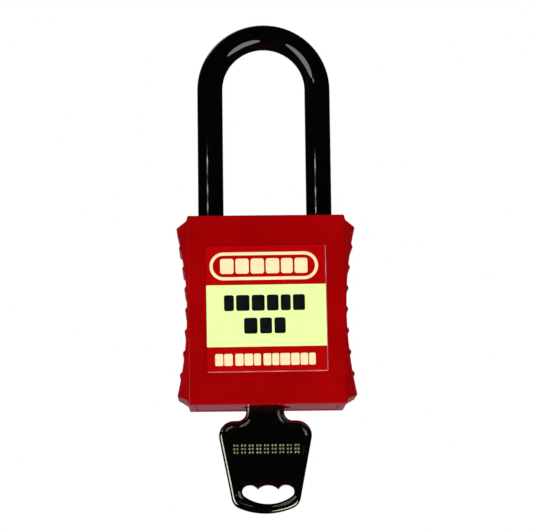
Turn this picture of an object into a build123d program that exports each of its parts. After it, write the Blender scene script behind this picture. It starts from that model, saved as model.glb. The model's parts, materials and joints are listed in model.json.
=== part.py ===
from build123d import *
from math import asin, cos, degrees, radians, sin, sqrt
import os

# Safety padlock with a non-conductive shackle. Millimetres.
# Frame: +Z up towards the crown of the shackle, the label faces -Y, X to the right as seen from the
# front. The origin is the highest inside point of the shackle's bow, where the padlock hangs.
# A "depth" is a distance below the body's top face.

# ---- common gaps ----
PAST = 1.0  # how far a cutting shape runs past what it cuts
INTO = 0.5  # how far joined shapes run into each other
RUN = 0.06  # running fit, on the radius
SEAT = 0.1  # gap between stacked or nested pieces
CLOSE = 0.05  # gap under a head, a clip or a shoulder

# ---- shackle ----
SHACKLE_R = 3.0  # exposed bar
LEG_R = 2.8  # the ends of the legs, inside the body
LEG_X = 12.75  # each leg's distance from the middle; heel on the left, toe on the right
CLEARANCE_HEIGHT = 41.5  # from the body's top to the inside of the bow
TOE_DEPTH = 9.0
LIFT = 12.5
HEEL_NECK_R = 2.0
HEEL_NECK_TOP = 12.2
HEEL_HEAD_TOP = 26.8
HEEL_HEAD_LENGTH = 3.0
TOE_CHAMFER = 0.4
LEG_ROOT = 0.2  # how far a leg's end reaches up into the bar
SPRING_R = 2.2
SPRING_WIRE_R = 0.35
SPRING_TURNS = 8
SPRING_SEAT = 1.1

# ---- body ----
BODY_HEIGHT = 44.0
BODY_THICKNESS = 20.0
END_HALF_WIDTH = 18.1
SHOULDER_HALF_WIDTH = 18.5
SHOULDER_DEPTH = 1.2
EAR_HALF_WIDTH = 20.85
EAR_DEPTH = 2.35
WAIST_HALF_WIDTH = 18.45
SIDE_FLAT = 10.8  # the flat between the two bevels, front to back, at the ears
FACE_EDGE_R = 0.45
CORNER_R = 0.3
END_EDGE_R = 0.4
RIB_COUNT = 7
RIB_PITCH = 4.95
RIB_R = 0.7
RIB_PROUD = 0.42
ROOF = 1.8
CAVITY_HALF_X = 16.0
CAVITY_HALF_Y = 7.9
CAVITY_CORNER_R = 1.2

# ---- bottom cover ----
RECESS_HALF_X = 16.5
RECESS_HALF_Y = 8.3
RECESS_DEPTH = 2.8  # how far the recess goes up from the body's lower face
COVER_GAP = 0.06
COVER_THICKNESS = 2.45
COVER_INSET = 0.12
CATCH_X = 10.6
CATCH_WIDTH = 4.0
CATCH_HEIGHT = 5.0
CATCH_THICKNESS = 1.0
CATCH_NIB = 0.45
CATCH_NIB_HEIGHT = 0.9
CATCH_POCKET_HEIGHT = 1.6
CATCH_TOP_GAP = 0.4
COVER_CHAMFER = 0.12
COVER_HOLE_GAP = 0.12

# ---- locking ----
BALL_R = 2.25
BALL_DEPTH = 5.2
BALL_BITE = 1.2  # how far a ball reaches into its leg
BALL_TRAVEL = 4.0
BALL_CLEARANCE = 0.08
CAM_R = 6.6
CAM_TURN = 90.0
GUIDE_HALF_X = 15.85
GUIDE_HALF_Y = 7.75
GUIDE_TOP = 1.9
GUIDE_BOTTOM = 12.4
CAM_TOP = 2.95
CAM_DISC_TOP = 7.55
CAM_BOTTOM = 12.2
POCKET_START = 7.0  # degrees from the ball, where the cam's hollow begins
POCKET_END_MARGIN = 0.5
POCKET_POINTS = 24
RETAINER_REACH = 3.3  # past the heel's middle
RETAINER_INSET = 1.0  # narrower than the guide, on each side

# ---- cylinder ----
PLUG_R = 5.4
PLUG_TOP = 17.6
PLUG_HEAD_R = 6.2
PLUG_HEAD_TOP = 39.9
PLUG_HEAD_BOTTOM = 41.1
PLUG_FACE = 43.3
TAIL_R = 3.0
TAIL_TOP = 12.9
TANG_TOP = 9.4
TANG_WIDTH = 5.0
TANG_THICKNESS = 1.6
CLIP_TOP = 13.1
CLIP_THICKNESS = 0.8
HOUSING_TOP = 14.2
HOUSING_BOTTOM = 41.2
HOUSING_R = 7.6
HEEL_BOSS_HALF_Y = 4.3
CHAMBER_BOSS_HALF_Y = 4.0
CHAMBER_END_X = 15.6
PIN_COUNT = 6
PIN_PITCH = 3.1
FIRST_PIN_DEPTH = 37.6
PIN_R = 1.35
CHAMBER_R = 1.42
DRIVER_LENGTH = 3.6
STRIP_THICKNESS = 0.9
SCREW_R = 1.4
SCREW_HEAD_R = 2.5
SCREW_HEAD_TOP = 9.4
SCREW_HEAD_LENGTH = 1.6
SCREW_END = 19.6
SCREW_SOCKET_R = 1.2
SCREW_SOCKET_DEPTH = 1.0
THREAD_GAP = 0.05
CHAMBER_BLOCK_X = 9.5  # inner side of the block that the screw enters
STRIP_MARGIN = 0.35  # from the end chambers to the strip's ends
STRIP_SIDE = 0.5
PLUG_CHAMFER = 0.25
CLIP_R = 4.5
CLIP_GROOVE = 0.6
CLIP_MOUTH = 1.4
PIN_TIP_R = 0.45
PIN_CONE = 0.85
PIN_REST = 0.06  # gap between a pin and its cut, or between a driver and its spring
DRIVER_START = 0.12  # outside the plug
PIN_SPRING_R = 1.05
PIN_SPRING_WIRE_R = 0.18
PIN_SPRING_TURNS = 6

# ---- key ----
KEY_THICKNESS = 2.2
BLADE_THICKNESS = 1.9
BLADE_LEFT = -4.2
BLADE_RIGHT = 3.3
BLADE_TIP = 19.0
KEYWAY_GAP = 0.08
KEYWAY_END = 0.4  # room beyond the blade's tip
CUT_DEPTHS = (1.0, 2.2, 1.4, 2.6, 0.9, 1.8)
CUT_FLAT = 0.9
CUT_RISE = 3.0
BLADE_NOSE = 2.6
BLADE_NOSE_X = -0.8
BLADE_CORNER = 1.2
WARD_DEPTH = 0.4
FRONT_WARD = (-2.6, -1.4)
BACK_WARD = (1.2, 2.0)
NECK_HALF_WIDTH = 4.45
BOW_X = -0.5  # the bow is centred on the blade, not on the plug
BOW_LENGTH = 24.6
BOW_EDGE_R = 0.75
BOW_RIM = 1.15
SLOT_RIM = 0.5
SLOT_TOP = 18.0  # below the body, like the other depths of the bow
SLOT_BOTTOM = 22.4
SLOT_HALF_WIDTH = 6.05
SCALLOP_X = 3.9  # middle of each outer scallop
PANEL_DEPTH = 0.3
PANEL_SLOPE = 40

# ---- labels ----
LABEL_WIDTH = 28.0
LABEL_HEIGHT = 29.6
LABEL_THICKNESS = 0.4
LABEL_DEPTH = 21.85  # the label's middle
BACK_LABEL_WIDTH = 26.0
BACK_LABEL_HEIGHT = 27.0
LABEL_CORNER_R = 0.4

BODY_TOP = -CLEARANCE_HEIGHT
BOW_INNER_R = LEG_X - SHACKLE_R
BALL_X = LEG_X - LEG_R + BALL_BITE - BALL_R


def level(depth):
    """Height of a point that lies depth below the body's top face."""
    return BODY_TOP - depth


def post(radius, top, bottom, x=0.0, y=0.0):
    """Upright cylinder between two depths."""
    middle = (level(top) + level(bottom)) / 2
    return Pos(x, y, middle) * Cylinder(radius, bottom - top)


def block(x_low, x_high, y_low, y_high, top, bottom):
    """Box between two depths."""
    size = Box(x_high - x_low, y_high - y_low, bottom - top)
    return Pos((x_low + x_high) / 2, (y_low + y_high) / 2, (level(top) + level(bottom)) / 2) * size


def slab(half_x, half_y, corner, top, bottom):
    """Upright block about the middle, with its four upright edges rounded."""
    plan = RectangleRounded(2 * half_x, 2 * half_y, corner)
    return extrude(Pos(0, 0, level(bottom)) * plan, bottom - top)


def lying(radius, x_low, x_high, depth):
    """Cylinder along X at a given depth."""
    return Pos((x_low + x_high) / 2, 0, level(depth)) * Rot(0, 90, 0) * Cylinder(radius, x_high - x_low)


def through(face, thickness):
    """Solid of the given thickness with its middle on the face."""
    return extrude(face, thickness / 2, both=True)


def pin_depths():
    """Depth of each pin, the one nearest the key's bow first."""
    return [FIRST_PIN_DEPTH - index * PIN_PITCH for index in range(PIN_COUNT)]


# ------------------------------------------------------------------ body
def side_x(height_from_middle):
    """Half-width of the concave side at a height above or below the waist."""
    half_chord = BODY_HEIGHT / 2 - EAR_DEPTH
    sagitta = EAR_HALF_WIDTH - WAIST_HALF_WIDTH
    radius = (half_chord**2 + sagitta**2) / (2 * sagitta)
    return WAIST_HALF_WIDTH + radius - sqrt(radius**2 - height_from_middle**2)


def body_outline():
    """Front view of the body: flat ends, stepped corners, pointed ears, hollow sides with ribs."""
    waist = level(BODY_HEIGHT / 2)

    def corners(side):
        top = [
            (side * END_HALF_WIDTH, level(0)),
            (side * SHOULDER_HALF_WIDTH, level(SHOULDER_DEPTH)),
            (side * EAR_HALF_WIDTH, level(EAR_DEPTH)),
        ]
        bottom = [(x, 2 * waist - z) for x, z in reversed(top)]
        return top, bottom

    right_top, right_bottom = corners(1)
    left_top, left_bottom = corners(-1)
    curves = [
        Polyline(*right_top),
        ThreePointArc(right_top[-1], (WAIST_HALF_WIDTH, waist), right_bottom[0]),
        Polyline(*right_bottom),
        Line(right_bottom[-1], left_bottom[-1]),
        Polyline(*left_bottom),
        ThreePointArc(left_top[-1], (-WAIST_HALF_WIDTH, waist), left_bottom[0]),
        Polyline(*left_top),
        Line(left_top[0], right_top[0]),
    ]
    outline = make_face(curves)
    outline = fillet(outline.vertices(), CORNER_R)
    for index in range(RIB_COUNT):
        offset = (index - (RIB_COUNT - 1) / 2) * RIB_PITCH
        rib_x = side_x(offset) + RIB_PROUD - RIB_R
        for side in (-1, 1):
            outline += Pos(side * rib_x, waist + offset) * Circle(RIB_R)
    return Plane.XZ * outline


def body_plan():
    """Plan of the body: an octagon whose bevels run from the faces back to the side flats."""
    half = BODY_THICKNESS / 2
    flat = SIDE_FLAT / 2
    reach = EAR_HALF_WIDTH
    far = EAR_HALF_WIDTH + PAST
    corners = [
        (END_HALF_WIDTH, -half),
        (reach, -flat),
        (far, -flat),
        (far, flat),
        (reach, flat),
        (END_HALF_WIDTH, half),
    ]
    points = corners + [(-x, y) for x, y in reversed(corners)]
    plan = make_face(Polyline(*points, close=True))
    face_corners = [v for v in plan.vertices() if abs(abs(v.Y) - half) < 0.01]
    return fillet(face_corners, FACE_EDGE_R)


def catch_places():
    """The four snap catches of the cover, as the sign of their X and of their Y."""
    return [(sign_x, sign_y) for sign_x in (-1, 1) for sign_y in (-1, 1)]


def make_body_shell():
    upright = extrude(Pos(0, 0, level(BODY_HEIGHT)) * body_plan(), BODY_HEIGHT)
    for end in (0, -1):
        upright = fillet(upright.faces().sort_by(Axis.Z)[end].edges(), END_EDGE_R)
    shell = through(body_outline(), BODY_THICKNESS + 2 * PAST) & upright
    shell -= slab(CAVITY_HALF_X, CAVITY_HALF_Y, CAVITY_CORNER_R, ROOF, BODY_HEIGHT + PAST)
    recess_top = BODY_HEIGHT - RECESS_DEPTH
    shell -= slab(RECESS_HALF_X, RECESS_HALF_Y, CAVITY_CORNER_R, recess_top, BODY_HEIGHT + PAST)
    for x in (-LEG_X, LEG_X):
        shell -= post(LEG_R + SEAT, -PAST, ROOF + PAST, x)
    pocket_top = recess_top - CATCH_HEIGHT
    half_width = CATCH_WIDTH / 2 + SEAT
    for sign_x, sign_y in catch_places():
        x = sign_x * CATCH_X
        pocket_y = sorted((sign_y * (CAVITY_HALF_Y - SEAT), sign_y * (CAVITY_HALF_Y + CATCH_NIB + SEAT)))
        pocket_bottom = pocket_top + CATCH_POCKET_HEIGHT
        shell -= block(x - half_width, x + half_width, *pocket_y, pocket_top, pocket_bottom)
    return shell


def make_bottom_cover():
    bottom = BODY_HEIGHT - COVER_INSET
    top = bottom - COVER_THICKNESS
    cover = slab(RECESS_HALF_X - COVER_GAP, RECESS_HALF_Y - COVER_GAP, CAVITY_CORNER_R, top, bottom)
    cover = chamfer(cover.faces().sort_by(Axis.Z)[0].edges(), COVER_CHAMFER)
    cover -= post(PLUG_R + COVER_HOLE_GAP, top - PAST, bottom + PAST)
    outer = CAVITY_HALF_Y - SEAT
    inner = outer - CATCH_THICKNESS
    crest = top - CATCH_HEIGHT + CATCH_TOP_GAP
    for sign_x, sign_y in catch_places():
        low_x = sign_x * CATCH_X - CATCH_WIDTH / 2
        high_x = sign_x * CATCH_X + CATCH_WIDTH / 2
        tongue_y = sorted((sign_y * outer, sign_y * inner))
        nib_y = sorted((sign_y * inner, sign_y * (outer + CATCH_NIB)))
        cover += block(low_x, high_x, *tongue_y, crest, top + INTO)
        cover += block(low_x, high_x, *nib_y, crest, crest + CATCH_NIB_HEIGHT)
    return cover


# ------------------------------------------------------------------ shackle and locking parts
def ball_path(side, radius):
    """Space that a ball sweeps past its leg while the ball moves in and the leg moves up."""
    start = Vector(side * BALL_X, 0, level(BALL_DEPTH))
    end = Vector(side * (BALL_X - BALL_TRAVEL), 0, level(BALL_DEPTH + LIFT))
    run = Plane(start, z_dir=end - start)
    return Pos(*start) * Sphere(radius) + extrude(run * Circle(radius), (end - start).length)


def make_shackle():
    bend_height = -BOW_INNER_R
    shoulder = level(0) + CLOSE
    path = Line((-LEG_X, 0, shoulder), (-LEG_X, 0, bend_height))
    path += ThreePointArc((-LEG_X, 0, bend_height), (0, 0, SHACKLE_R), (LEG_X, 0, bend_height))
    path += Line((LEG_X, 0, bend_height), (LEG_X, 0, shoulder))
    bow = sweep(Plane((-LEG_X, 0, shoulder), z_dir=(0, 0, 1)) * Circle(SHACKLE_R), path)
    toe = post(LEG_R, -LEG_ROOT, TOE_DEPTH, LEG_X)
    toe = chamfer(toe.edges().sort_by(Axis.Z)[0], TOE_CHAMFER)
    heel = post(LEG_R, -LEG_ROOT, HEEL_NECK_TOP, -LEG_X)
    neck = post(HEEL_NECK_R, HEEL_NECK_TOP - INTO, HEEL_HEAD_TOP + INTO, -LEG_X)
    head = post(LEG_R, HEEL_HEAD_TOP, HEEL_HEAD_TOP + HEEL_HEAD_LENGTH, -LEG_X)
    shackle = bow + toe + heel + neck + head
    for side in (-1, 1):
        shackle -= ball_path(side, BALL_R + BALL_CLEARANCE)
    return shackle


def make_guide_block():
    guide = slab(GUIDE_HALF_X, GUIDE_HALF_Y, CAVITY_CORNER_R, GUIDE_TOP, GUIDE_BOTTOM)
    guide -= post(LEG_R + RUN, GUIDE_TOP - PAST, SCREW_HEAD_TOP + SCREW_HEAD_LENGTH + CLOSE, LEG_X)
    guide -= post(SCREW_R + SEAT + CLOSE, GUIDE_TOP, GUIDE_BOTTOM + PAST, LEG_X)
    guide -= post(LEG_R + RUN, GUIDE_TOP - PAST, GUIDE_BOTTOM + PAST, -LEG_X)
    guide -= post(CAM_R + RUN, CAM_TOP - SEAT, GUIDE_BOTTOM + PAST)
    guide -= lying(BALL_R + RUN, -LEG_X, LEG_X, BALL_DEPTH)
    return guide


def make_ball(side):
    return Pos(side * BALL_X, 0, level(BALL_DEPTH)) * Sphere(BALL_R)


def cam_reach(angle):
    """How far out the cam may reach at an angle, so that it clears a ball all through the turn."""
    radius = BALL_R + BALL_CLEARANCE
    reach = CAM_R
    steps = round(CAM_TURN)
    for step in range(steps + 1):
        turned = CAM_TURN * step / steps
        distance = BALL_X - BALL_TRAVEL * step / steps
        bearing = radians(angle + turned)
        offset = abs(distance * sin(bearing))
        if offset < radius and cos(bearing) > 0:
            reach = min(reach, distance * cos(bearing) - sqrt(radius**2 - offset**2))
    return reach


def cam_pocket():
    """Plan of the hollow in the cam that takes in a ball as the cam turns."""
    end_distance = BALL_X - BALL_TRAVEL
    last = POCKET_END_MARGIN - CAM_TURN - degrees(asin((BALL_R + BALL_CLEARANCE) / end_distance))
    first = POCKET_START
    angles = [first + (last - first) * index / POCKET_POINTS for index in range(POCKET_POINTS + 1)]
    inner = [(cam_reach(a) * cos(radians(a)), cam_reach(a) * sin(radians(a))) for a in angles]
    far = 2 * CAM_R
    outer = [(far * cos(radians(a)), far * sin(radians(a))) for a in (first, last / 2, last)]
    return make_face(Spline(*inner) + Polyline(inner[-1], *reversed(outer), inner[0]))


def make_cam():
    cam = post(CAM_R, CAM_TOP, CAM_DISC_TOP)
    for turn in (0, 180):
        hollow = Rot(0, 0, turn) * cam_pocket()
        cam -= extrude(Pos(0, 0, level(CAM_DISC_TOP + SEAT)) * hollow, CAM_DISC_TOP - CAM_TOP + PAST)
    cam += post(CAM_R, CAM_DISC_TOP, CAM_BOTTOM)
    half_x = TANG_WIDTH / 2 + SEAT
    half_y = TANG_THICKNESS / 2 + CLOSE
    cam -= block(-half_x, half_x, -half_y, half_y, TANG_TOP - 2 * SEAT, CAM_BOTTOM + PAST)
    return cam


def make_heel_retainer():
    top = GUIDE_BOTTOM + SEAT
    bottom = HOUSING_TOP - SEAT
    half_y = GUIDE_HALF_Y - RETAINER_INSET
    plate = block(-GUIDE_HALF_X, -LEG_X + RETAINER_REACH, -half_y, half_y, top, bottom)
    slot = HEEL_NECK_R + RUN
    plate -= post(slot, top - PAST, bottom + PAST, -LEG_X)
    plate -= block(-LEG_X - slot, -LEG_X + slot, -GUIDE_HALF_Y, 0, top - PAST, bottom + PAST)
    return plate


def coil(coil_radius, wire_radius, length, turns):
    """Helical spring standing on the XY plane."""
    height = length - 2 * wire_radius
    helix = Helix(pitch=height / turns, height=height, radius=coil_radius)
    wire = sweep(Plane(helix @ 0, z_dir=helix % 0) * Circle(wire_radius), helix, is_frenet=True)
    return Pos(0, 0, wire_radius) * wire


def make_shackle_spring():
    top = HEEL_HEAD_TOP + HEEL_HEAD_LENGTH + SEAT
    bottom = HOUSING_BOTTOM - SPRING_SEAT
    spring = coil(SPRING_R, SPRING_WIRE_R, bottom - top, SPRING_TURNS)
    return Pos(-LEG_X, 0, level(bottom)) * spring


# ------------------------------------------------------------------ cylinder
def make_cylinder_housing():
    plan = Circle(HOUSING_R)
    plan += Pos(-GUIDE_HALF_X / 2, 0) * Rectangle(GUIDE_HALF_X, 2 * HEEL_BOSS_HALF_Y)
    plan += Pos(CHAMBER_END_X / 2, 0) * Rectangle(CHAMBER_END_X, 2 * CHAMBER_BOSS_HALF_Y)
    housing = extrude(Pos(0, 0, level(HOUSING_BOTTOM)) * plan, HOUSING_BOTTOM - HOUSING_TOP)
    half_y = CHAMBER_BOSS_HALF_Y
    boss_top = GUIDE_BOTTOM + SEAT
    boss_bottom = HOUSING_TOP + PAST
    housing += block(CHAMBER_BLOCK_X, CHAMBER_END_X, -half_y, half_y, boss_top, boss_bottom)
    housing -= post(PLUG_R + RUN, PLUG_TOP - SEAT, HOUSING_BOTTOM + PAST)
    housing -= post(PLUG_HEAD_R + RUN, PLUG_HEAD_TOP - SEAT, HOUSING_BOTTOM + PAST)
    housing -= post(TAIL_R + RUN, HOUSING_TOP - PAST, PLUG_TOP + PAST)
    housing -= post(LEG_R + RUN, HOUSING_TOP - PAST, HOUSING_BOTTOM - PAST, -LEG_X)
    housing -= post(SCREW_R + THREAD_GAP, GUIDE_BOTTOM - PAST, SCREW_END + 2 * SEAT, LEG_X)
    for depth in pin_depths():
        housing -= lying(CHAMBER_R, PLUG_R - PAST, CHAMBER_END_X + PAST, depth)
    housing -= strip(CLOSE, CHAMBER_END_X + PAST)
    return housing


def strip(grow, high_x):
    """Strip that closes the pin chambers, or its seat when grow is the gap round it."""
    low_x = CHAMBER_END_X - STRIP_THICKNESS - grow / 2
    half_width = CHAMBER_R + STRIP_SIDE + grow
    margin = CHAMBER_R + STRIP_MARGIN + grow
    top = pin_depths()[-1] - margin
    bottom = FIRST_PIN_DEPTH + margin
    return block(low_x, high_x, -half_width, half_width, top, bottom)


def make_chamber_cover():
    return strip(0, CHAMBER_END_X)


def ward(grow):
    """The two grooves that run along the blade, or the ribs of the keyway when grow is negative."""
    half = BLADE_THICKNESS / 2
    depth = WARD_DEPTH + grow
    ends = (BLADE_TIP - PAST, PLUG_FACE)
    front = block(FRONT_WARD[0] - grow, FRONT_WARD[1] + grow, -half - PAST, -half + depth, *ends)
    back = block(BACK_WARD[0] - grow, BACK_WARD[1] + grow, half - depth, half + PAST, *ends)
    return front + back


def make_plug():
    plug = post(PLUG_R, PLUG_TOP, PLUG_FACE) + post(PLUG_HEAD_R, PLUG_HEAD_TOP, PLUG_HEAD_BOTTOM)
    plug = chamfer(plug.faces().sort_by(Axis.Z)[0].edges(), PLUG_CHAMFER)
    plug += post(TAIL_R, TAIL_TOP, PLUG_TOP + INTO)
    half_x = TANG_WIDTH / 2
    half_y = TANG_THICKNESS / 2
    plug += block(-half_x, half_x, -half_y, half_y, TANG_TOP, TAIL_TOP + PAST)
    clip_bottom = CLIP_TOP + CLIP_THICKNESS
    groove = post(TAIL_R + PAST, CLIP_TOP - CLOSE, clip_bottom + CLOSE)
    plug -= groove - post(TAIL_R - CLIP_GROOVE, CLIP_TOP - PAST, clip_bottom + PAST)
    half = BLADE_THICKNESS / 2 + KEYWAY_GAP
    left = BLADE_LEFT - KEYWAY_GAP
    right = BLADE_RIGHT + KEYWAY_GAP
    keyway = block(left, right, -half, half, BLADE_TIP - KEYWAY_END, PLUG_FACE + PAST)
    plug -= keyway - ward(-KEYWAY_GAP)
    for depth in pin_depths():
        plug -= lying(CHAMBER_R, 0, PLUG_R + PAST, depth)
    return plug


def make_plug_clip():
    bottom = CLIP_TOP + CLIP_THICKNESS
    clip = post(CLIP_R, CLIP_TOP, bottom)
    clip -= post(TAIL_R - CLIP_GROOVE + CLOSE, CLIP_TOP - PAST, bottom + PAST)
    return clip - block(0, CLIP_R + PAST, -CLIP_MOUTH, CLIP_MOUTH, CLIP_TOP - PAST, bottom + PAST)


def make_cylinder_screw():
    head_bottom = SCREW_HEAD_TOP + SCREW_HEAD_LENGTH
    screw = post(SCREW_HEAD_R, SCREW_HEAD_TOP, head_bottom, LEG_X)
    screw += post(SCREW_R, head_bottom - INTO, SCREW_END, LEG_X)
    socket_floor = level(SCREW_HEAD_TOP + SCREW_SOCKET_DEPTH)
    socket = Pos(LEG_X, 0, socket_floor) * RegularPolygon(SCREW_SOCKET_R, 6)
    return screw - extrude(socket, SCREW_SOCKET_DEPTH + PAST)


def key_pin(depth, cut):
    """Key pin with a coned tip that rests in its cut."""
    tip_x = BLADE_RIGHT - cut + PIN_REST
    flush_x = sqrt(PLUG_R**2 - PIN_R**2) - PIN_REST / 2
    tip = Pos(tip_x + PIN_CONE / 2, 0, level(depth)) * Rot(0, 90, 0) * Cone(PIN_TIP_R, PIN_R, PIN_CONE)
    return tip + lying(PIN_R, tip_x + PIN_CONE, flush_x, depth)


def make_key_pins():
    return [key_pin(depth, cut) for depth, cut in zip(pin_depths(), CUT_DEPTHS)]


def make_driver_pins():
    start = PLUG_R + DRIVER_START
    return [lying(PIN_R, start, start + DRIVER_LENGTH, depth) for depth in pin_depths()]


def make_pin_springs():
    start = PLUG_R + DRIVER_START + DRIVER_LENGTH + PIN_REST
    length = CHAMBER_END_X - STRIP_THICKNESS - PIN_REST - start
    spring = coil(PIN_SPRING_R, PIN_SPRING_WIRE_R, length, PIN_SPRING_TURNS)
    return [Pos(start, 0, level(depth)) * Rot(0, 90, 0) * spring for depth in pin_depths()]


# ------------------------------------------------------------------ key
def bow_outline():
    """Front view of the bow: neck, square shoulders, tapering sides, curved lower edge."""
    top = level(PLUG_FACE + CLOSE)
    end = level(BODY_HEIGHT)
    shoulder = end - 2.95
    widest = (11.55, end - 3.1)
    lowest = (7.75, end - 22.6)
    right = [(NECK_HALF_WIDTH, top), (NECK_HALF_WIDTH, shoulder), widest, lowest]
    left = [(-x, z) for x, z in right]
    curves = Polyline(*right) + ThreePointArc(lowest, (0, end - BOW_LENGTH), left[-1])
    curves += Polyline(*reversed(left)) + Line(left[0], right[0])
    outline = make_face(curves)
    rounding = {right[1]: 2.0, widest: 3.5, lowest: 3.0}
    for (x, z), radius in rounding.items():
        for side in (-1, 1):
            corner = outline.vertices().sort_by_distance((side * x, z))[0]
            outline = fillet(corner, radius)
    return outline


def ring_slot():
    """Opening for a key ring: curved below, rounded ends, three scallops above."""
    end = level(BODY_HEIGHT)
    cusp = (2.4, end - 19.0)
    shoulder = (5.3, end - 18.3)
    side = (5.55, end - 20.6)
    scallop_top = end - SLOT_TOP
    curves = ThreePointArc((-side[0], side[1]), (0, end - SLOT_BOTTOM), side)
    curves += ThreePointArc((-cusp[0], cusp[1]), (0, scallop_top), cusp)
    for sign in (-1, 1):
        bent_side = (sign * side[0], side[1])
        bent_shoulder = (sign * shoulder[0], shoulder[1])
        bent_cusp = (sign * cusp[0], cusp[1])
        curves += ThreePointArc(bent_side, (sign * SLOT_HALF_WIDTH, end - 19.4), bent_shoulder)
        curves += ThreePointArc(bent_shoulder, (sign * SCALLOP_X, scallop_top), bent_cusp)
    return make_face(curves)


def blade_nose():
    """Front view of what is cut away to point the blade's tip."""
    far = 2 * PLUG_R
    above = level(BLADE_TIP - PAST)
    points = [
        (-far, above),
        (far, above),
        (far, level(BLADE_TIP + BLADE_NOSE)),
        (BLADE_RIGHT, level(BLADE_TIP + BLADE_NOSE)),
        (BLADE_NOSE_X, level(BLADE_TIP)),
        (BLADE_LEFT + BLADE_CORNER, level(BLADE_TIP)),
        (BLADE_LEFT, level(BLADE_TIP + BLADE_CORNER)),
        (-far, level(BLADE_TIP + BLADE_CORNER)),
    ]
    return Plane.XZ * make_face(Polyline(*points, close=True))


def blade_cut(depth, cut):
    """Front view of one V cut with a flat root."""
    root_x = BLADE_RIGHT - cut
    half = CUT_FLAT / 2
    points = [
        (root_x, level(depth - half)),
        (root_x + CUT_RISE, level(depth - half - CUT_RISE)),
        (root_x + CUT_RISE, level(depth + half + CUT_RISE)),
        (root_x, level(depth + half)),
    ]
    return Plane.XZ * make_face(Polyline(*points, close=True))


def make_key():
    outline = Pos(BOW_X, 0) * bow_outline()
    bow = through(Plane.XZ * outline, KEY_THICKNESS)
    bow = fillet(bow.faces().filter_by(Axis.Y).edges(), BOW_EDGE_R)
    panel = offset(outline, -BOW_RIM, kind=Kind.ARC) - offset(ring_slot(), SLOT_RIM, kind=Kind.ARC)
    hollow = extrude(Plane.XZ * panel, -PANEL_DEPTH - SEAT, taper=PANEL_SLOPE)
    hollow = Pos(0, -KEY_THICKNESS / 2 - SEAT, 0) * hollow
    bow -= hollow
    bow -= mirror(hollow, Plane.XZ)
    bow -= through(Plane.XZ * ring_slot(), KEY_THICKNESS + 2 * PAST)
    half = BLADE_THICKNESS / 2
    blade = block(BLADE_LEFT, BLADE_RIGHT, -half, half, BLADE_TIP, PLUG_FACE + CLOSE + INTO)
    blade -= through(blade_nose(), 2 * KEY_THICKNESS)
    for depth, cut in zip(pin_depths(), CUT_DEPTHS):
        blade -= through(blade_cut(depth, cut), 2 * KEY_THICKNESS)
    blade -= ward(0)
    return bow + blade


# ------------------------------------------------------------------ labels
def make_label(width, height, side):
    """Sticker on the front (side -1) or the back (side 1) of the body."""
    plan = Pos(0, level(LABEL_DEPTH)) * RectangleRounded(width, height, LABEL_CORNER_R)
    middle = side * (BODY_THICKNESS / 2 + LABEL_THICKNESS / 2)
    return Pos(0, middle, 0) * through(Plane.XZ * plan, LABEL_THICKNESS)


def write(name, *solids):
    """Write one node; several separate solids go in as a group."""
    shape = solids[0] if len(solids) == 1 else Compound(children=list(solids))
    export_step(shape, f"parts/{name}.step")


def main():
    os.makedirs("parts", exist_ok=True)
    write("body_shell", make_body_shell())
    write("bottom_cover", make_bottom_cover())
    write("front_label", make_label(LABEL_WIDTH, LABEL_HEIGHT, -1))
    write("back_label", make_label(BACK_LABEL_WIDTH, BACK_LABEL_HEIGHT, 1))
    write("shackle", make_shackle())
    write("shackle_spring", make_shackle_spring())
    write("heel_retainer", make_heel_retainer())
    write("guide_block", make_guide_block())
    write("locking_ball_left", make_ball(-1))
    write("locking_ball_right", make_ball(1))
    write("cam", make_cam())
    write("cylinder_housing", make_cylinder_housing())
    write("chamber_cover", make_chamber_cover())
    write("cylinder_screw", make_cylinder_screw())
    write("plug", make_plug())
    write("plug_clip", make_plug_clip())
    write("key_pins", *make_key_pins())
    write("driver_pins", *make_driver_pins())
    write("pin_springs", *make_pin_springs())
    write("key", make_key())


main()
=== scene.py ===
import bpy
import json
import math
from mathutils import Matrix, Vector


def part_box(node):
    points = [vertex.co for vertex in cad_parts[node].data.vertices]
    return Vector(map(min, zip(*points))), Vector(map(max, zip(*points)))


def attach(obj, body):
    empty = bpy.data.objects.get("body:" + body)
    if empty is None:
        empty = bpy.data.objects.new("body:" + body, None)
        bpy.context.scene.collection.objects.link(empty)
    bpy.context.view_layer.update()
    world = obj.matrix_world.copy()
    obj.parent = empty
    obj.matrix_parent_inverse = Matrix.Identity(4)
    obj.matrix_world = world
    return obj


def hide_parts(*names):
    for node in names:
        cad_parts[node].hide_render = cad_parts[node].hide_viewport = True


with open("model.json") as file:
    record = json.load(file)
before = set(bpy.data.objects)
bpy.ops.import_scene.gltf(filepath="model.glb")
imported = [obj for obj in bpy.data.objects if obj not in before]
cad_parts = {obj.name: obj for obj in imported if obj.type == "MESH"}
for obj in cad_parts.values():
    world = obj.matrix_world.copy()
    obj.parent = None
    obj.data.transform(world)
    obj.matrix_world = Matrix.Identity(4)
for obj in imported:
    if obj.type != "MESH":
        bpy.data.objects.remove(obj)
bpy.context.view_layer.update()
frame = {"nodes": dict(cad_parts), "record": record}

# Safety padlock: looks, label print, key stamp, light and camera, around the CAD frame.
# Metres, in the CAD frame: +Z up, the label faces -Y. Label and stamp sizes are in millimetres.

nodes = frame["nodes"]
MM = 0.001


# ------------------------------------------------------------------ materials
TONE_RANGE = (0.25, 0.75)  # noise at which the dark and the light tone are reached
GLOSS_RANGE = (0.2, 0.8)  # noise at which the least and the greatest roughness are reached
LEAST_ROUGHNESS = 0.02
TONE_DETAIL = 4.0
RELIEF_DETAIL = 3.0


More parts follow.
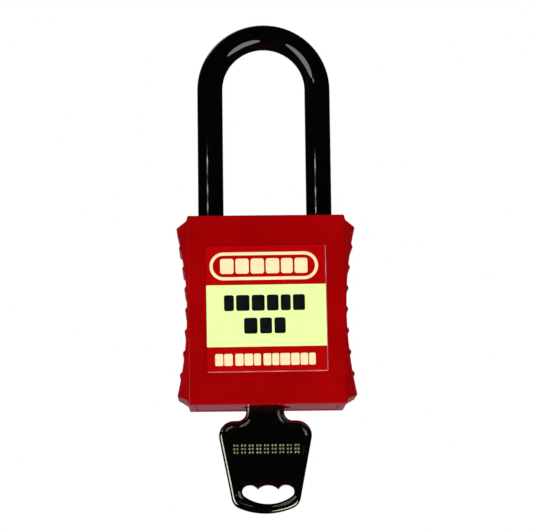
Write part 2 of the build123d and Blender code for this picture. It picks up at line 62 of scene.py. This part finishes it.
def noise_value(tree, place, scale, detail):
    """Adds a noise texture in the object's own coordinates and returns its output."""
    noise = tree.nodes.new("ShaderNodeTexNoise")
    noise.inputs["Scale"].default_value = scale
    noise.inputs["Detail"].default_value = detail
    tree.links.new(place.outputs["Object"], noise.inputs["Vector"])
    return noise.outputs["Fac"]


def surface(name, dark, light, grain, rough, rough_spread=0.06, metallic=0.0, specular=0.5,
            bump=0.0, bump_grain=900.0, edge=0.0):
    """Surface with two close tones mixed by noise, uneven gloss, fine relief and softened edges.
    bump is the relief's depth and edge the softening's radius, in metres."""
    mat = bpy.data.materials.new(name)
    mat.use_nodes = True
    tree = mat.node_tree
    shader = tree.nodes["Principled BSDF"]
    place = tree.nodes.new("ShaderNodeTexCoord")
    mottle = noise_value(tree, place, grain, TONE_DETAIL)
    tones = tree.nodes.new("ShaderNodeValToRGB")
    for index, tone in enumerate((dark, light)):
        tones.color_ramp.elements[index].position = TONE_RANGE[index]
        tones.color_ramp.elements[index].color = (*tone, 1)
    tree.links.new(mottle, tones.inputs["Fac"])
    tree.links.new(tones.outputs["Color"], shader.inputs["Base Color"])
    gloss = tree.nodes.new("ShaderNodeMapRange")
    gloss.inputs["From Min"].default_value = GLOSS_RANGE[0]
    gloss.inputs["From Max"].default_value = GLOSS_RANGE[1]
    gloss.inputs["To Min"].default_value = max(rough - rough_spread, LEAST_ROUGHNESS)
    gloss.inputs["To Max"].default_value = rough + rough_spread
    tree.links.new(mottle, gloss.inputs["Value"])
    tree.links.new(gloss.outputs["Result"], shader.inputs["Roughness"])
    shader.inputs["Metallic"].default_value = metallic
    shader.inputs["Specular IOR Level"].default_value = specular
    normal = None
    if edge:
        soften = tree.nodes.new("ShaderNodeBevel")
        soften.inputs["Radius"].default_value = edge
        normal = soften.outputs["Normal"]
    if bump:
        lift = tree.nodes.new("ShaderNodeBump")
        lift.inputs["Strength"].default_value = 1.0
        lift.inputs["Distance"].default_value = bump
        tree.links.new(noise_value(tree, place, bump_grain, RELIEF_DETAIL), lift.inputs["Height"])
        if normal:
            tree.links.new(normal, lift.inputs["Normal"])
        normal = lift.outputs["Normal"]
    if normal:
        tree.links.new(normal, shader.inputs["Normal"])
    return mat


# moulded plastics
red_nylon = surface("red_nylon", (0.255, 0.0003, 0.0007), (0.335, 0.0006, 0.0013), grain=160,
                    rough=0.12, rough_spread=0.02, specular=0.2, bump=0.002 * MM, edge=0.1 * MM)
black_nylon = surface("black_nylon", (0.0005, 0.0005, 0.0006), (0.0011, 0.0011, 0.0013), grain=300,
                      rough=0.035, rough_spread=0.01, specular=0.42, bump=0.003 * MM, bump_grain=380)

# metals
dark_nickel = surface("dark_nickel", (0.135, 0.13, 0.10), (0.18, 0.175, 0.14), grain=240,
                      rough=0.08, rough_spread=0.03, metallic=1.0,
                      bump=0.0012 * MM, bump_grain=400, edge=0.14 * MM)
brass = surface("brass", (0.55, 0.36, 0.13), (0.68, 0.47, 0.20), grain=400,
                rough=0.12, rough_spread=0.03, metallic=1.0, bump=0.002 * MM, bump_grain=2500)
zinc_casting = surface("zinc_casting", (0.33, 0.33, 0.335), (0.45, 0.45, 0.455), grain=500,
                       rough=0.42, metallic=1.0, bump=0.01 * MM, bump_grain=1800)
zinc_steel = surface("zinc_steel", (0.46, 0.47, 0.50), (0.58, 0.58, 0.60), grain=600,
                     rough=0.28, metallic=1.0)
spring_steel = surface("spring_steel", (0.42, 0.42, 0.42), (0.55, 0.55, 0.54), grain=900,
                       rough=0.22, metallic=1.0)
ball_steel = surface("ball_steel", (0.60, 0.60, 0.60), (0.66, 0.66, 0.66), grain=500,
                     rough=0.07, rough_spread=0.03, metallic=1.0)
# painted glint: the stamp's pale gold stands in for light caught in stamped grooves, not the key's
# own colour
stamp_painted_glint = surface("stamp_painted_glint", (0.16, 0.16, 0.07), (0.36, 0.36, 0.18), grain=700,
                     rough=0.35, metallic=0.3)

# label films and inks
write_on_film = surface("write_on_film", (0.70, 0.70, 0.68), (0.72, 0.72, 0.70), grain=350,
                        rough=0.45, rough_spread=0.03)
# clear film over the red body in its dark red tone; its pale pink tone is a painted highlight for the
# sheen of light along the film's edge
film_and_painted_sheen = surface("film_and_painted_sheen", (0.26, 0.01, 0.02), (0.66, 0.26, 0.26), grain=190, rough=0.30)
print_red = surface("print_red", (0.36, 0.0003, 0.0008), (0.41, 0.0006, 0.0014), grain=160,
                    rough=0.20, rough_spread=0.03, specular=0.1)
print_field = surface("print_field", (0.72, 0.97, 0.34), (0.76, 1.0, 0.375), grain=300,
                      rough=0.24, rough_spread=0.03, specular=0.1)
print_cream = surface("print_cream", (0.93, 0.70, 0.40), (0.98, 0.76, 0.46), grain=500,
                      rough=0.24, rough_spread=0.03, specular=0.1)
print_black = surface("print_black", (0.002, 0.003, 0.003), (0.006, 0.007, 0.007), grain=500,
                      rough=0.24, rough_spread=0.03, specular=0.1)

FINISHES = {
    "red_nylon": red_nylon, "black_nylon": black_nylon, "dark_nickel": dark_nickel, "brass": brass,
    "zinc_casting": zinc_casting, "zinc_steel": zinc_steel, "spring_steel": spring_steel,
    "ball_steel": ball_steel, "write_on_film": write_on_film, "label_film": film_and_painted_sheen,
}
for part in frame["record"]["subparts"]:
    for slot in nodes[part["node"]].material_slots:
        slot.material = FINISHES[part["material_slot"]]


# ------------------------------------------------------------------ thin plates on the faces
CORNER_STEPS = 6
CAPSULE_STEPS = 14
LEAST_RADIUS = 0.01
LEAST_FLAT = 1e-6  # a corner's radius stays this far below half the plate's side


def rounded(width, height, radius, x, z, steps=CORNER_STEPS):
    """Points round a rectangle with rounded corners, anticlockwise as seen from the front."""
    radius = min(radius, width / 2 - LEAST_FLAT, height / 2 - LEAST_FLAT)
    points = []
    for quarter in range(4):
        sign_x = 1 if quarter in (0, 3) else -1
        sign_z = 1 if quarter in (0, 1) else -1
        for step in range(steps + 1):
            angle = math.radians(90 * quarter + 90 * step / steps)
            points.append((x + sign_x * (width / 2 - radius) + radius * math.cos(angle),
                           z + sign_z * (height / 2 - radius) + radius * math.sin(angle)))
    return points


class Build:
    """Collects loops of points into one mesh."""

    def __init__(self):
        self.points = []
        self.faces = []

    def loop(self, outline, y):
        """Adds an outline at depth y and returns the numbers of its points."""
        start = len(self.points)
        self.points += [(px, y, pz) for px, pz in outline]
        return list(range(start, start + len(outline)))

    def band(self, first, second):
        """Joins two loops with faces."""
        count = len(first)
        for index in range(count):
            after = (index + 1) % count
            self.faces.append((first[index], first[after], second[after], second[index]))

    def plate(self, width, height, radius, x, z, back, front, bevel):
        """Rounded plate from y back to y front, with a small bevel round its front."""
        outer = rounded(width, height, radius, x, z)
        inner_radius = max(radius - bevel, LEAST_RADIUS)
        inner = rounded(width - 2 * bevel, height - 2 * bevel, inner_radius, x, z)
        rings = [self.loop(outer, back), self.loop(outer, front + bevel), self.loop(inner, front)]
        self.band(rings[0], rings[1])
        self.band(rings[1], rings[2])
        self.faces.append(tuple(reversed(rings[0])))
        self.faces.append(tuple(rings[2]))

    def ring(self, width, height, stroke, x, z, back, front, bevel):
        """Capsule-shaped band."""
        sizes = [(0, back), (0, front + bevel), (bevel, front), (stroke - bevel, front),
                 (stroke, front + bevel), (stroke, back)]
        loops = []
        for inset, y in sizes:
            outline = rounded(width - 2 * inset, height - 2 * inset, height / 2 - inset, x, z,
                              CAPSULE_STEPS)
            loops.append(self.loop(outline, y))
        for first, second in zip(loops, loops[1:] + loops[:1]):
            self.band(first, second)

    def piece(self, name, mat, body, place):
        """Makes the object: points are in millimetres round place, which is a matrix in metres."""
        mesh = bpy.data.meshes.new(name)
        mesh.from_pydata([place @ (Vector(point) * MM) for point in self.points], [], self.faces)
        mesh.materials.append(mat)
        mesh.update()
        obj = bpy.data.objects.new(name, mesh)
        bpy.context.scene.collection.objects.link(obj)
        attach(obj, body)
        return obj


# ------------------------------------------------------------------ front label
# Depths are from the label's back towards its front, which is -Y. The label's drops are from its
# top edge.
LABEL_TILT = -0.35  # degrees
FILM_FRONT = -0.25
PRINT_FRONT = -0.32
SUNK = 0.01  # how far each layer starts inside the one below it
MARK_CLEAR = 0.02  # how far the marks stay inside the label's box
HEADER = 9.2
FOOTER = 5.65
BORDER = 0.2  # clear film that shows beyond the print on the right and below
SHRINK = 0.2  # room for the label's tilt inside its own box
MARK_SHIFT = -0.42  # the marks' middle from the print's middle
MARK_BEVEL = 0.03
WORD_SPACE = 0.15  # among a row's widths, an empty place between two groups of blocks
FILM_RADIUS = 0.35
FILM_BEVEL = 0.08
ZONE_RADIUS = 0.12
ZONE_BEVEL = 0.02
CAPSULE_WIDTH = 25.1
CAPSULE_HEIGHT = 6.5
CAPSULE_STROKE = 0.72
CAPSULE_DROP = 4.82
FIELD_DROPS = (13.4, 18.7)
FOOTER_SAG = 0.15  # how far the foot row lies below its band's middle
HEADER_WIDTHS = (3.1, 3.1, 3.1, 3.1, 2.7, 3.0)
FIELD_WIDTHS = (2.3, 3.1, 3.0, 2.7, 2.3, 2.8)
FIELD_WIDTHS_BELOW = (3.1, 2.8, 2.6)
FOOTER_WIDTHS = (1.85, 1.95, WORD_SPACE, 1.9, 1.95, 1.6, WORD_SPACE,
                 1.8, 1.6, 2.3, 1.95, 1.75, 1.5)

label_low, label_high = (Vector(corner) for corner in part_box("front_label"))
label_middle = (label_low + label_high) / 2
label_size = (label_high - label_low) / MM
label_place = (Matrix.Translation((label_middle.x, label_high.y, label_middle.z))
               @ Matrix.Rotation(math.radians(LABEL_TILT), 4, "Y"))
MARK_BACK = PRINT_FRONT + SUNK
MARK_FRONT = MARK_CLEAR - label_size.y

film_width = label_size.x - SHRINK
film_height = label_size.z - SHRINK
print_width = film_width - BORDER
print_height = film_height - BORDER
print_x = -BORDER / 2
mark_x = print_x + MARK_SHIFT
top = film_height / 2
bottom = top - print_height
field_height = print_height - HEADER - FOOTER


def marks(build, widths, gap, height, radius, z):
    """A row of plain rounded blocks, centred. WORD_SPACE among the widths leaves a space."""
    left = mark_x - (sum(widths) + gap * (len(widths) - 1)) / 2
    for width in widths:
        if width != WORD_SPACE:
            build.plate(width, height, radius, left + width / 2, z, MARK_BACK, MARK_FRONT, MARK_BEVEL)
        left += width + gap


film = Build()
film.plate(film_width, film_height, FILM_RADIUS, 0, 0, 0, FILM_FRONT, FILM_BEVEL)
film_piece = film.piece("label_film_base", film_and_painted_sheen, "lock_body", label_place)
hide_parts("front_label")

zones = (
    ("label_header", print_red, top - HEADER / 2, HEADER),
    ("label_field", print_field, top - HEADER - field_height / 2, field_height),
    ("label_footer", print_red, bottom + FOOTER / 2, FOOTER),
)
for name, mat, z, height in zones:
    zone = Build()
    zone.plate(print_width, height, ZONE_RADIUS, print_x, z, FILM_FRONT + SUNK, PRINT_FRONT,
               ZONE_BEVEL)
    zone.piece(name, mat, "lock_body", label_place)

capsule_z = top - CAPSULE_DROP
capsule = Build()
capsule.ring(CAPSULE_WIDTH, CAPSULE_HEIGHT, CAPSULE_STROKE, mark_x, capsule_z,
             MARK_BACK, MARK_FRONT, MARK_BEVEL)
capsule.piece("label_header_frame", print_cream, "lock_body", label_place)

header_marks = Build()
marks(header_marks, HEADER_WIDTHS, gap=0.42, height=3.5, radius=0.55, z=capsule_z)
header_marks.piece("label_header_marks", print_cream, "lock_body", label_place)

field_marks = Build()
marks(field_marks, FIELD_WIDTHS, gap=0.5, height=3.7, radius=0.5, z=top - FIELD_DROPS[0])
marks(field_marks, FIELD_WIDTHS_BELOW, gap=0.55, height=3.7, radius=0.5, z=top - FIELD_DROPS[1])
field_marks.piece("label_field_marks", print_black, "lock_body", label_place)

footer_marks = Build()
footer_z = bottom + FOOTER / 2 - FOOTER_SAG
marks(footer_marks, FOOTER_WIDTHS, gap=0.22, height=2.75, radius=0.35, z=footer_z)
footer_marks.piece("label_footer_marks", print_cream, "lock_body", label_place)

# ------------------------------------------------------------------ key stamp
# Groups of dots, a little proud of the key's sunk panel, which lies 0.3 behind the key's front. Their
# pale gold colour is a painted glint for light caught in stamped grooves.
STAMP_X = -0.3
STAMP_RISE = 15.0  # above the key's lower end
GROUPS = 9
GROUP_PITCH = 1.78
COLUMN_SHIFT = 0.36
ROW_PITCH = 0.82
DOT_WIDTH = 0.46
DOT_HEIGHT = 0.5
DOT_RADIUS = 0.2
DOT_BACK = 0.32  # depths behind the key's front
DOT_FRONT = 0.24
DOT_BEVEL = 0.04

key_low = Vector(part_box("key")[0])
stamp_place = Matrix.Translation((STAMP_X * MM, key_low.y, key_low.z + STAMP_RISE * MM))
stamp = Build()
for index in range(GROUPS):
    centre = (index - (GROUPS - 1) / 2) * GROUP_PITCH
    for column in (-1, 1):
        for row in (-1, 0, 1):
            stamp.plate(DOT_WIDTH, DOT_HEIGHT, DOT_RADIUS, centre + column * COLUMN_SHIFT,
                        row * ROW_PITCH, DOT_BACK, DOT_FRONT, DOT_BEVEL)
stamp.piece("key_stamp_marks", stamp_painted_glint, "key", stamp_place)

# ------------------------------------------------------------------ camera
CAMERA_DISTANCE = 0.560
CAMERA_TARGET = Vector((0.23, 0, -52.03)) * MM
CAMERA_PITCH = 8.2  # degrees that it looks upwards
CAMERA_YAW = 1.05
CAMERA_ROLL = -0.7
SENSOR_MM = 36
LENS_MM = 160.6154
CLIP_START = 0.01

pitch = math.radians(CAMERA_PITCH)
yaw = math.radians(CAMERA_YAW)
roll = math.radians(CAMERA_ROLL)
forward = Vector((math.sin(yaw) * math.cos(pitch), math.cos(yaw) * math.cos(pitch), math.sin(pitch)))
level_right = Vector((math.cos(yaw), -math.sin(yaw), 0))
level_up = level_right.cross(forward)
right = level_right * math.cos(roll) + level_up * math.sin(roll)
up = -level_right * math.sin(roll) + level_up * math.cos(roll)
cam_data = bpy.data.cameras.new("camera")
cam = bpy.data.objects.new("camera", cam_data)
bpy.context.scene.collection.objects.link(cam)
cam.matrix_world = Matrix((
    (right.x, up.x, -forward.x, 0),
    (right.y, up.y, -forward.y, 0),
    (right.z, up.z, -forward.z, 0),
    (0, 0, 0, 1),
))
cam.location = CAMERA_TARGET - forward * CAMERA_DISTANCE
cam_data.sensor_width = SENSOR_MM
cam_data.lens = LENS_MM
cam_data.clip_start = CLIP_START
bpy.context.scene.camera = cam

# ------------------------------------------------------------------ floor
FLOOR_SIZE = 60
FLOOR_Z = -0.72
FLOOR_GLOW = 0.97

bpy.ops.mesh.primitive_plane_add(size=FLOOR_SIZE, location=(0, 0, FLOOR_Z))
floor = bpy.context.object
floor.name = "floor"
floor_paint = surface("floor_paint", (0.78, 0.78, 0.78), (0.82, 0.82, 0.82), grain=6, rough=0.6)
floor_shader = floor_paint.node_tree.nodes["Principled BSDF"]
floor_shader.inputs["Emission Color"].default_value = (1, 1, 1, 1)
floor_shader.inputs["Emission Strength"].default_value = FLOOR_GLOW
floor.data.materials.append(floor_paint)
floor.visible_shadow = False
floor.visible_glossy = False  # the dark surroundings show in the gloss, not the floor

# ------------------------------------------------------------------ world
# White to the camera. To everything else it is dark and bluish, with a lighter patch round +Y.
PATCH_EDGE = 0.80  # +Y share of the direction where the patch begins, and where it is full
PATCH_FULL = 0.97
DARK_STRENGTH = 0.008
PATCH_STRENGTH = 0.15
DARK_TINT = (0.85, 0.88, 1.1, 1)
NUMBER_A, NUMBER_B, NUMBER_OUT = 2, 3, 0  # sockets of a mix node that mixes numbers
COLOR_A, COLOR_B, COLOR_OUT = 6, 7, 2  # and of one that mixes colours

world = bpy.data.worlds.new("world")
bpy.context.scene.world = world
world.use_nodes = True
world_tree = world.node_tree
background = world_tree.nodes["Background"]
rays = world_tree.nodes.new("ShaderNodeLightPath")
direction = world_tree.nodes.new("ShaderNodeTexCoord")
axes = world_tree.nodes.new("ShaderNodeSeparateXYZ")
world_tree.links.new(direction.outputs["Generated"], axes.inputs[0])
patch = world_tree.nodes.new("ShaderNodeMapRange")
world_tree.links.new(axes.outputs["Y"], patch.inputs["Value"])
patch.inputs["From Min"].default_value = PATCH_EDGE
patch.inputs["From Max"].default_value = PATCH_FULL
patch.inputs["To Min"].default_value = DARK_STRENGTH
patch.inputs["To Max"].default_value = PATCH_STRENGTH
strength = world_tree.nodes.new("ShaderNodeMix")
world_tree.links.new(rays.outputs["Is Camera Ray"], strength.inputs["Factor"])
world_tree.links.new(patch.outputs["Result"], strength.inputs[NUMBER_A])
strength.inputs[NUMBER_B].default_value = 1.0
world_tree.links.new(strength.outputs[NUMBER_OUT], background.inputs["Strength"])
tint = world_tree.nodes.new("ShaderNodeMix")
tint.data_type = "RGBA"
world_tree.links.new(rays.outputs["Is Camera Ray"], tint.inputs["Factor"])
tint.inputs[COLOR_A].default_value = DARK_TINT
tint.inputs[COLOR_B].default_value = (1, 1, 1, 1)
world_tree.links.new(tint.outputs[COLOR_OUT], background.inputs["Color"])

# ------------------------------------------------------------------ light
MIDDLE = Vector((0, 0, -0.055))
FAR = 2.0  # distances of the panels from the padlock's middle
NEAR = 0.9
STRIP_DISTANCE = 0.8
STRIPS = ((12.6, 0.35), (12.15, 0.08), (11.45, 0.3), (10.75, 0.3))  # elevation and height of each


def softbox(name, azimuth, elevation, width, height, distance, radiance, turn=0.0,
            mirrored=True, lights=True, round_panel=False):
    """Light panel facing the object. Azimuth is to the right of the label's facing. It is in
    degrees, and so are elevation, width, height and turn, which is about the panel's own middle.
    A panel that isn't mirrored doesn't show in reflections. One that doesn't light shows only in
    reflections."""
    azimuth = math.radians(azimuth)
    elevation = math.radians(elevation)
    away = Vector((math.sin(azimuth) * math.cos(elevation), -math.cos(azimuth) * math.cos(elevation),
                   math.sin(elevation)))
    data = bpy.data.lights.new(name, "AREA")
    data.shape = "ELLIPSE" if round_panel else "RECTANGLE"
    data.size = 2 * distance * math.tan(math.radians(width / 2))
    data.size_y = 2 * distance * math.tan(math.radians(height / 2))
    area = data.size * data.size_y * (math.pi / 4 if round_panel else 1)
    data.energy = math.pi * area * radiance
    obj = bpy.data.objects.new(name, data)
    obj.location = MIDDLE + away * distance
    facing = (-away).to_track_quat("-Z", "Y").to_matrix()
    obj.rotation_euler = (facing @ Matrix.Rotation(math.radians(turn), 3, "Z")).to_euler()
    obj.visible_camera = False
    obj.visible_glossy = mirrored
    obj.visible_diffuse = lights
    bpy.context.scene.collection.objects.link(obj)


# the two highlights on the bow
softbox("softbox_left", azimuth=-36, elevation=-11, width=43, height=35, distance=FAR,
        radiance=4.9, lights=False, round_panel=True)
softbox("softbox_right", azimuth=28.5, elevation=-34, width=38, height=40, distance=FAR,
        radiance=4.9, lights=False, round_panel=True)

# the light on the front
softbox("fill_front_left", azimuth=-34, elevation=-8.5, width=50, height=24, distance=FAR,
        radiance=3.9, turn=18, mirrored=False, round_panel=True)
softbox("fill_front_right", azimuth=18, elevation=-21, width=22, height=42, distance=FAR,
        radiance=3.9, turn=25, mirrored=False, round_panel=True)

# the broken highlights down the legs
for index, (elevation, height) in enumerate(STRIPS):
    softbox(f"strip_{index}", azimuth=-29, elevation=elevation, width=10, height=height,
            distance=STRIP_DISTANCE, radiance=14)

# the light from above, behind and the sides
softbox("fill_top", azimuth=0, elevation=80, width=55, height=55, distance=NEAR,
        radiance=1.6, mirrored=False)
for name, azimuth in (("fill_back_left", 150), ("fill_back_right", -150)):
    softbox(name, azimuth=azimuth, elevation=25, width=50, height=50, distance=NEAR,
            radiance=1.3, mirrored=False)
for name, azimuth, radiance in (("fill_right", 128, 1.3), ("fill_left", -128, 1.1)):
    softbox(name, azimuth=azimuth, elevation=5, width=40, height=40, distance=NEAR,
            radiance=radiance, mirrored=False)

# the highlight on the back of the bow
softbox("strip_back", azimuth=200, elevation=42, width=40, height=9, distance=NEAR, radiance=1.6)

bpy.context.scene.view_settings.view_transform = "Standard"
